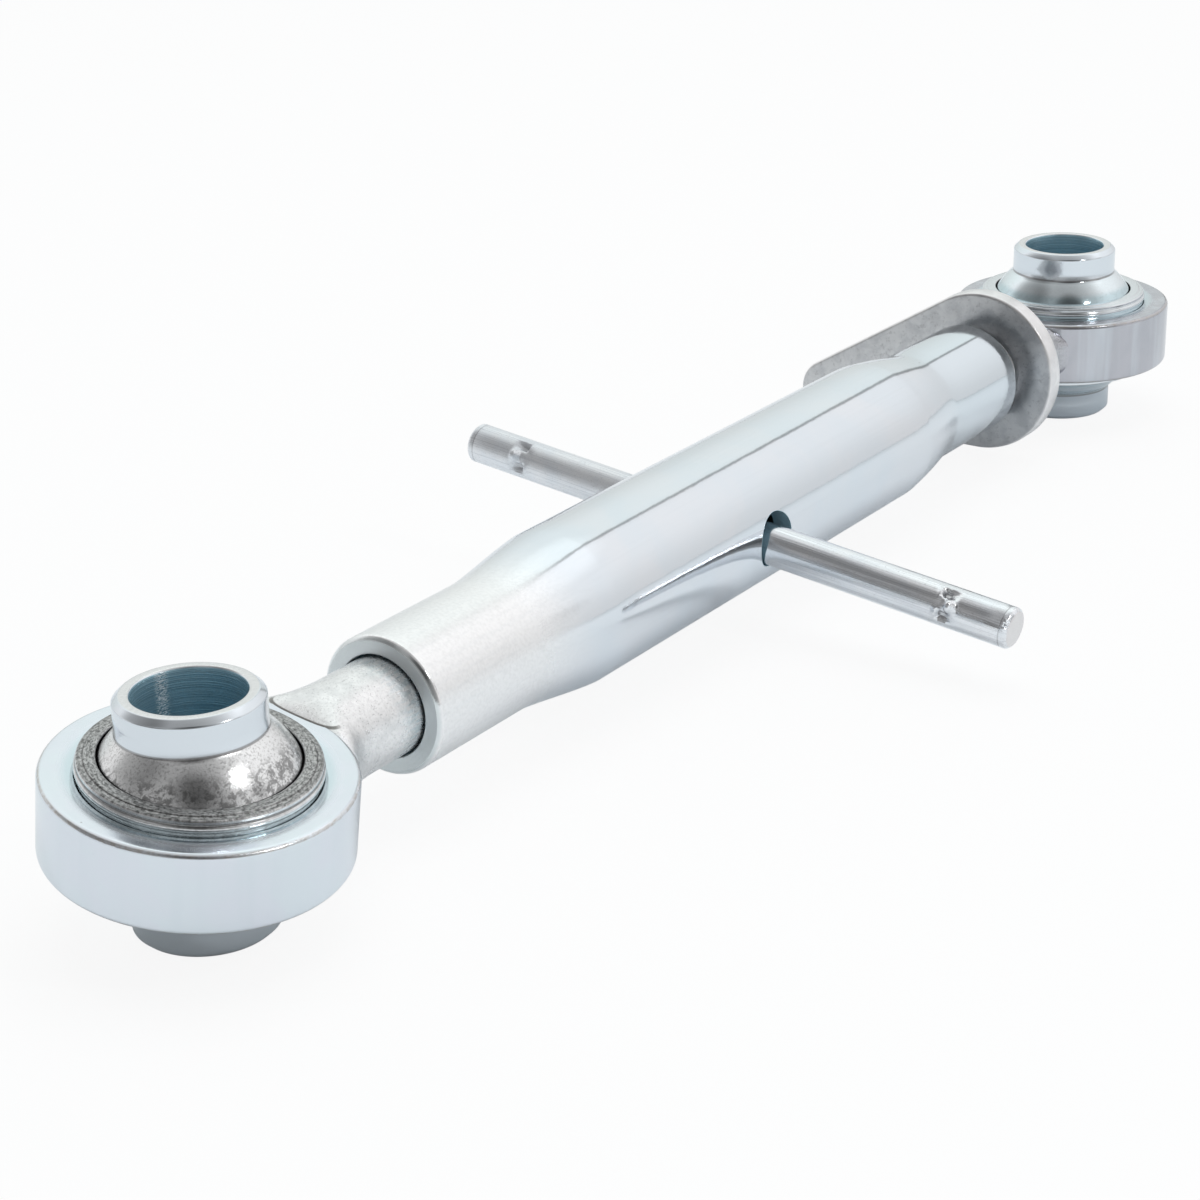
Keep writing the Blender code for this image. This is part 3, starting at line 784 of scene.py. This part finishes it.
def lever_finish(name, place):
    """Dull mottled zinc on rolled plate, with a painted highlight along its rim."""
    f = Finish(name, place)
    mottle = f.noise(0.22, 5.0, roughness=0.62, distortion=0.5)
    spots = f.noise(0.9, 4.0, roughness=0.7)
    rim_highlight = f.fall(abs(f.z), LEVER_THICK / 2 - 0.25, LEVER_THICK / 2 - 0.05)
    colour = f.mix(f.rise(mottle, 0.36, 0.62), (0.52, 0.525, 0.54), (0.65, 0.652, 0.66))
    colour = f.mix(f.rise(spots, 0.55, 0.68, 0.0, 0.6), colour, (0.40, 0.40, 0.41))
    # The rim is painted whiter: painted highlight.
    colour = f.mix(rim_highlight * 0.8, colour, f.mix(f.rise(mottle, 0.4, 0.6), (0.87, 0.86, 0.865), (0.94, 0.93, 0.935)))
    colour = f.mix(f.specks(7.0, 0.2) * 0.4, colour, (0.30, 0.30, 0.30))
    rough = 0.33 + (mottle - 0.5) * 0.2 + (spots - 0.5) * 0.12
    normal = f.bump(mottle, 0.08)
    normal = f.bump(spots, 0.006, normal)
    return f.done(colour, rough, normal)


# Assembly

def dress(piece, material, body, node=None):
    piece.data.materials.clear()
    piece.data.materials.append(material)
    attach(piece, body)
    if node:
        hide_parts(node)


def make_end(end, ball_place, place, thread_start, flare, hand, scuffed, ring_zinc, shank_zinc):
    eye, ball, race = end + "_eye", end + "_ball", end + "_race"
    along = place @ turned_about("Y", 90)
    polished = ball_finish(ball + "_zinc", ball_place, scuffed)
    dress(make_ball(ball + "_turned", ball_place), polished, ball, ball)
    staked = race_finish(race + "_steel", place, scuffed)
    dress(make_race(race + "_turned", place), staked, eye, race)
    milled = ring_finish(eye + "_ring_zinc", place, *ring_zinc)
    dress(make_ring(eye + "_ring", place), milled, eye, eye)
    forged = shank_finish(eye + "_shank_zinc", along, *shank_zinc, ring_zinc[1])
    dress(make_shank(eye + "_shank", place, thread_start, flare), forged, eye)
    rolled = thread_finish(end + "_thread_zinc", along)
    dress(make_thread(end + "_thread", place, thread_start, THREAD_END, hand), rolled, eye)
    dress(make_rod_end(end + "_rod_end", place, THREAD_END), rolled, eye)


def build():
    make_end("near", LINK, NEAR_EYE, thread_start=50.2, flare=7.7, hand=RIGHT_HAND, scuffed=1.0,
             ring_zinc=((0.77, 0.83, 0.875), (0.78, 0.815, 0.875)),
             shank_zinc=((0.93, 0.93, 0.935), (0.82, 0.82, 0.825)))
    # The far eye's ring and shank take the near eye's zinc in darker colours: painted shade on the far end.
    make_end("far", FAR_END, FAR_EYE, thread_start=39.4, flare=5.2, hand=LEFT_HAND, scuffed=0.12,
             ring_zinc=((0.49, 0.50, 0.54), (0.54, 0.54, 0.58)),
             shank_zinc=((0.56, 0.57, 0.60), (0.42, 0.43, 0.46)))
    tube_zinc = tube_finish("tube_zinc", TUBE @ turned_about("Y", 90))
    dress(make_tube("tube_swaged", TUBE), tube_zinc, "tube", "tube")
    bar_zinc = bar_finish("bar_zinc", BAR @ turned_about("X", -90))
    dress(make_bar("tommy_bar_turned", BAR), bar_zinc, "tommy_bar", "tommy_bar")
    lever_zinc = lever_finish("lever_zinc", LEVER)
    dress(make_lever("lock_lever_plate", LEVER), lever_zinc, "lock_lever", "lock_lever")


# Room and camera. The floor and the lamps are sized and placed in metres.

WHITE = (1.0, 1.0, 1.0, 1.0)
FLOOR_SIZE = 14.0
FLOOR_LEVEL = -0.0001
CAMERA_FROM_NEAR_BALL = (-289.59, -285.03, 199.06)
CAMERA_YAW, CAMERA_PITCH, CAMERA_ROLL = (math.degrees(angle) for angle in (0.611582, 0.387331, 0.0231605))
CAMERA_LENS = 80.958
CAMERA_SENSOR = 36.0


def towards(azimuth, elevation):
    az, el = math.radians(azimuth), math.radians(elevation)
    return Vector((math.cos(el) * math.cos(az), math.cos(el) * math.sin(az), math.sin(el)))


def make_floor():
    bpy.ops.object.select_all(action="DESELECT")
    bpy.ops.mesh.primitive_plane_add(size=FLOOR_SIZE, location=(0, 0, FLOOR_LEVEL))
    floor = bpy.context.object
    floor.name = "floor"
    material = bpy.data.materials.new("floor_white")
    material.use_nodes = True
    s = Shading(material.node_tree)
    in_view = s.node("ShaderNodeLightPath", output="Is Camera Ray")
    in_metal = s.node("ShaderNodeLightPath", output="Is Glossy Ray")
    paint = s.node("ShaderNodeBsdfDiffuse", {}, {"Color": (0.91, 0.94, 0.96, 1.0)})
    white = s.node("ShaderNodeEmission", {}, {"Color": WHITE, "Strength": 1.0})
    surface = s.node("ShaderNodeMixShader", {}, {0: in_view * 0.9 + in_metal * 0.04, 1: paint, 2: white})
    s.node("ShaderNodeOutputMaterial", {}, {"Surface": surface})
    floor.data.materials.append(material)


def make_tent():
    """A white light tent: two diffusers that meet at a seam, and the dim opening behind the camera."""
    world = bpy.data.worlds.new("light_tent")
    bpy.context.scene.world = world
    world.use_nodes = True
    s = Shading(world.node_tree)
    x, y, z = s.parts(s.node("ShaderNodeTexCoord", output="Generated"))

    def along(direction):
        return x * direction.x + y * direction.y + z * direction.z

    def cap(azimuth, elevation, outer, inner, depth):
        """A dim round patch that goes from one at its outer angle to the depth at its inner angle."""
        return s.rise(along(towards(azimuth, elevation)), math.cos(math.radians(outer)),
                      math.cos(math.radians(inner)), 1.0, depth)

    side = along(towards(4.5, 39.8).cross(towards(7.9, 30.2)).normalized())
    light = s.rise(z, 0.0, 0.62, 0.78, 1.0) * cap(-155, 45, 78, 0, 0.36)
    light = light + s.rise(z, 0.62, 0.78, 0.0, 0.2) * s.rise(x, 0.2, 0.6)
    dim_patches = ((-140, 42, 26, 6, 0.28), (-66, 21, 10, 4, 0.35), (-122, 16, 36, 14, 0.62), (128, 42, 36, 12, 0.42))
    for patch in dim_patches:
        light = light * cap(*patch)
    low_corner = s.rise(along(towards(158, 0)), 0.82, 0.95, 0.0, 0.6) * s.fall(z, 0.3, 0.5)
    seam = s.rise(abs(side), 0.010, 0.030, 0.62, 0.0) * s.rise(x, 0.3, 0.5)
    light = light * (1 - low_corner) * (1 - seam)
    tint = s.mix(s.rise(side, -0.01, 0.01) * s.rise(x, 0.0, 0.3), (1.0, 1.0, 1.0), (0.95, 0.995, 0.98))
    tent = s.node("ShaderNodeBackground", {}, {"Color": tint, "Strength": light})
    white = s.node("ShaderNodeBackground", {}, {"Color": WHITE, "Strength": 1.0})
    in_view = s.node("ShaderNodeLightPath", output="Is Camera Ray")
    s.node("ShaderNodeOutputWorld", {}, {"Surface": s.node("ShaderNodeMixShader", {}, {0: in_view, 1: tent, 2: white})})


def make_lamp(name, target, azimuth, elevation, distance, size, power, in_metal=True):
    place = Vector(target) + towards(azimuth, elevation) * distance
    bpy.ops.object.light_add(type="AREA", location=place)
    lamp = bpy.context.object
    lamp.name = name
    lamp.data.shape = "DISK"
    lamp.data.size = size
    lamp.data.energy = power
    lamp.rotation_euler = (Vector(target) - place).to_track_quat("-Z", "Y").to_euler()
    lamp.visible_glossy = in_metal


def make_camera():
    """The camera that was fitted to the photograph."""
    camera = bpy.data.objects.new("camera", bpy.data.cameras.new("camera"))
    bpy.context.scene.collection.objects.link(camera)
    bpy.context.scene.camera = camera
    eye_point = (LINK @ moved(*CAMERA_FROM_NEAR_BALL)).translation
    turn = turned_about("Z", CAMERA_YAW - 90) @ turned_about("X", 90 - CAMERA_PITCH)
    camera.matrix_world = Matrix.Translation(eye_point) @ turn @ turned_about("Z", -CAMERA_ROLL)
    camera.data.lens = CAMERA_LENS
    camera.data.sensor_width = CAMERA_SENSOR
    camera.data.clip_start = 0.01


build()
make_floor()
make_tent()
make_lamp("key", (-0.163, 0.005, 0.02), -78, 41, 0.9, 0.12, 0.7)
make_lamp("overhead", (0, 0, 0), 20, 84, 1.6, 1.3, 7.5, in_metal=False)
make_camera()
bpy.context.scene.view_settings.view_transform = "Standard"
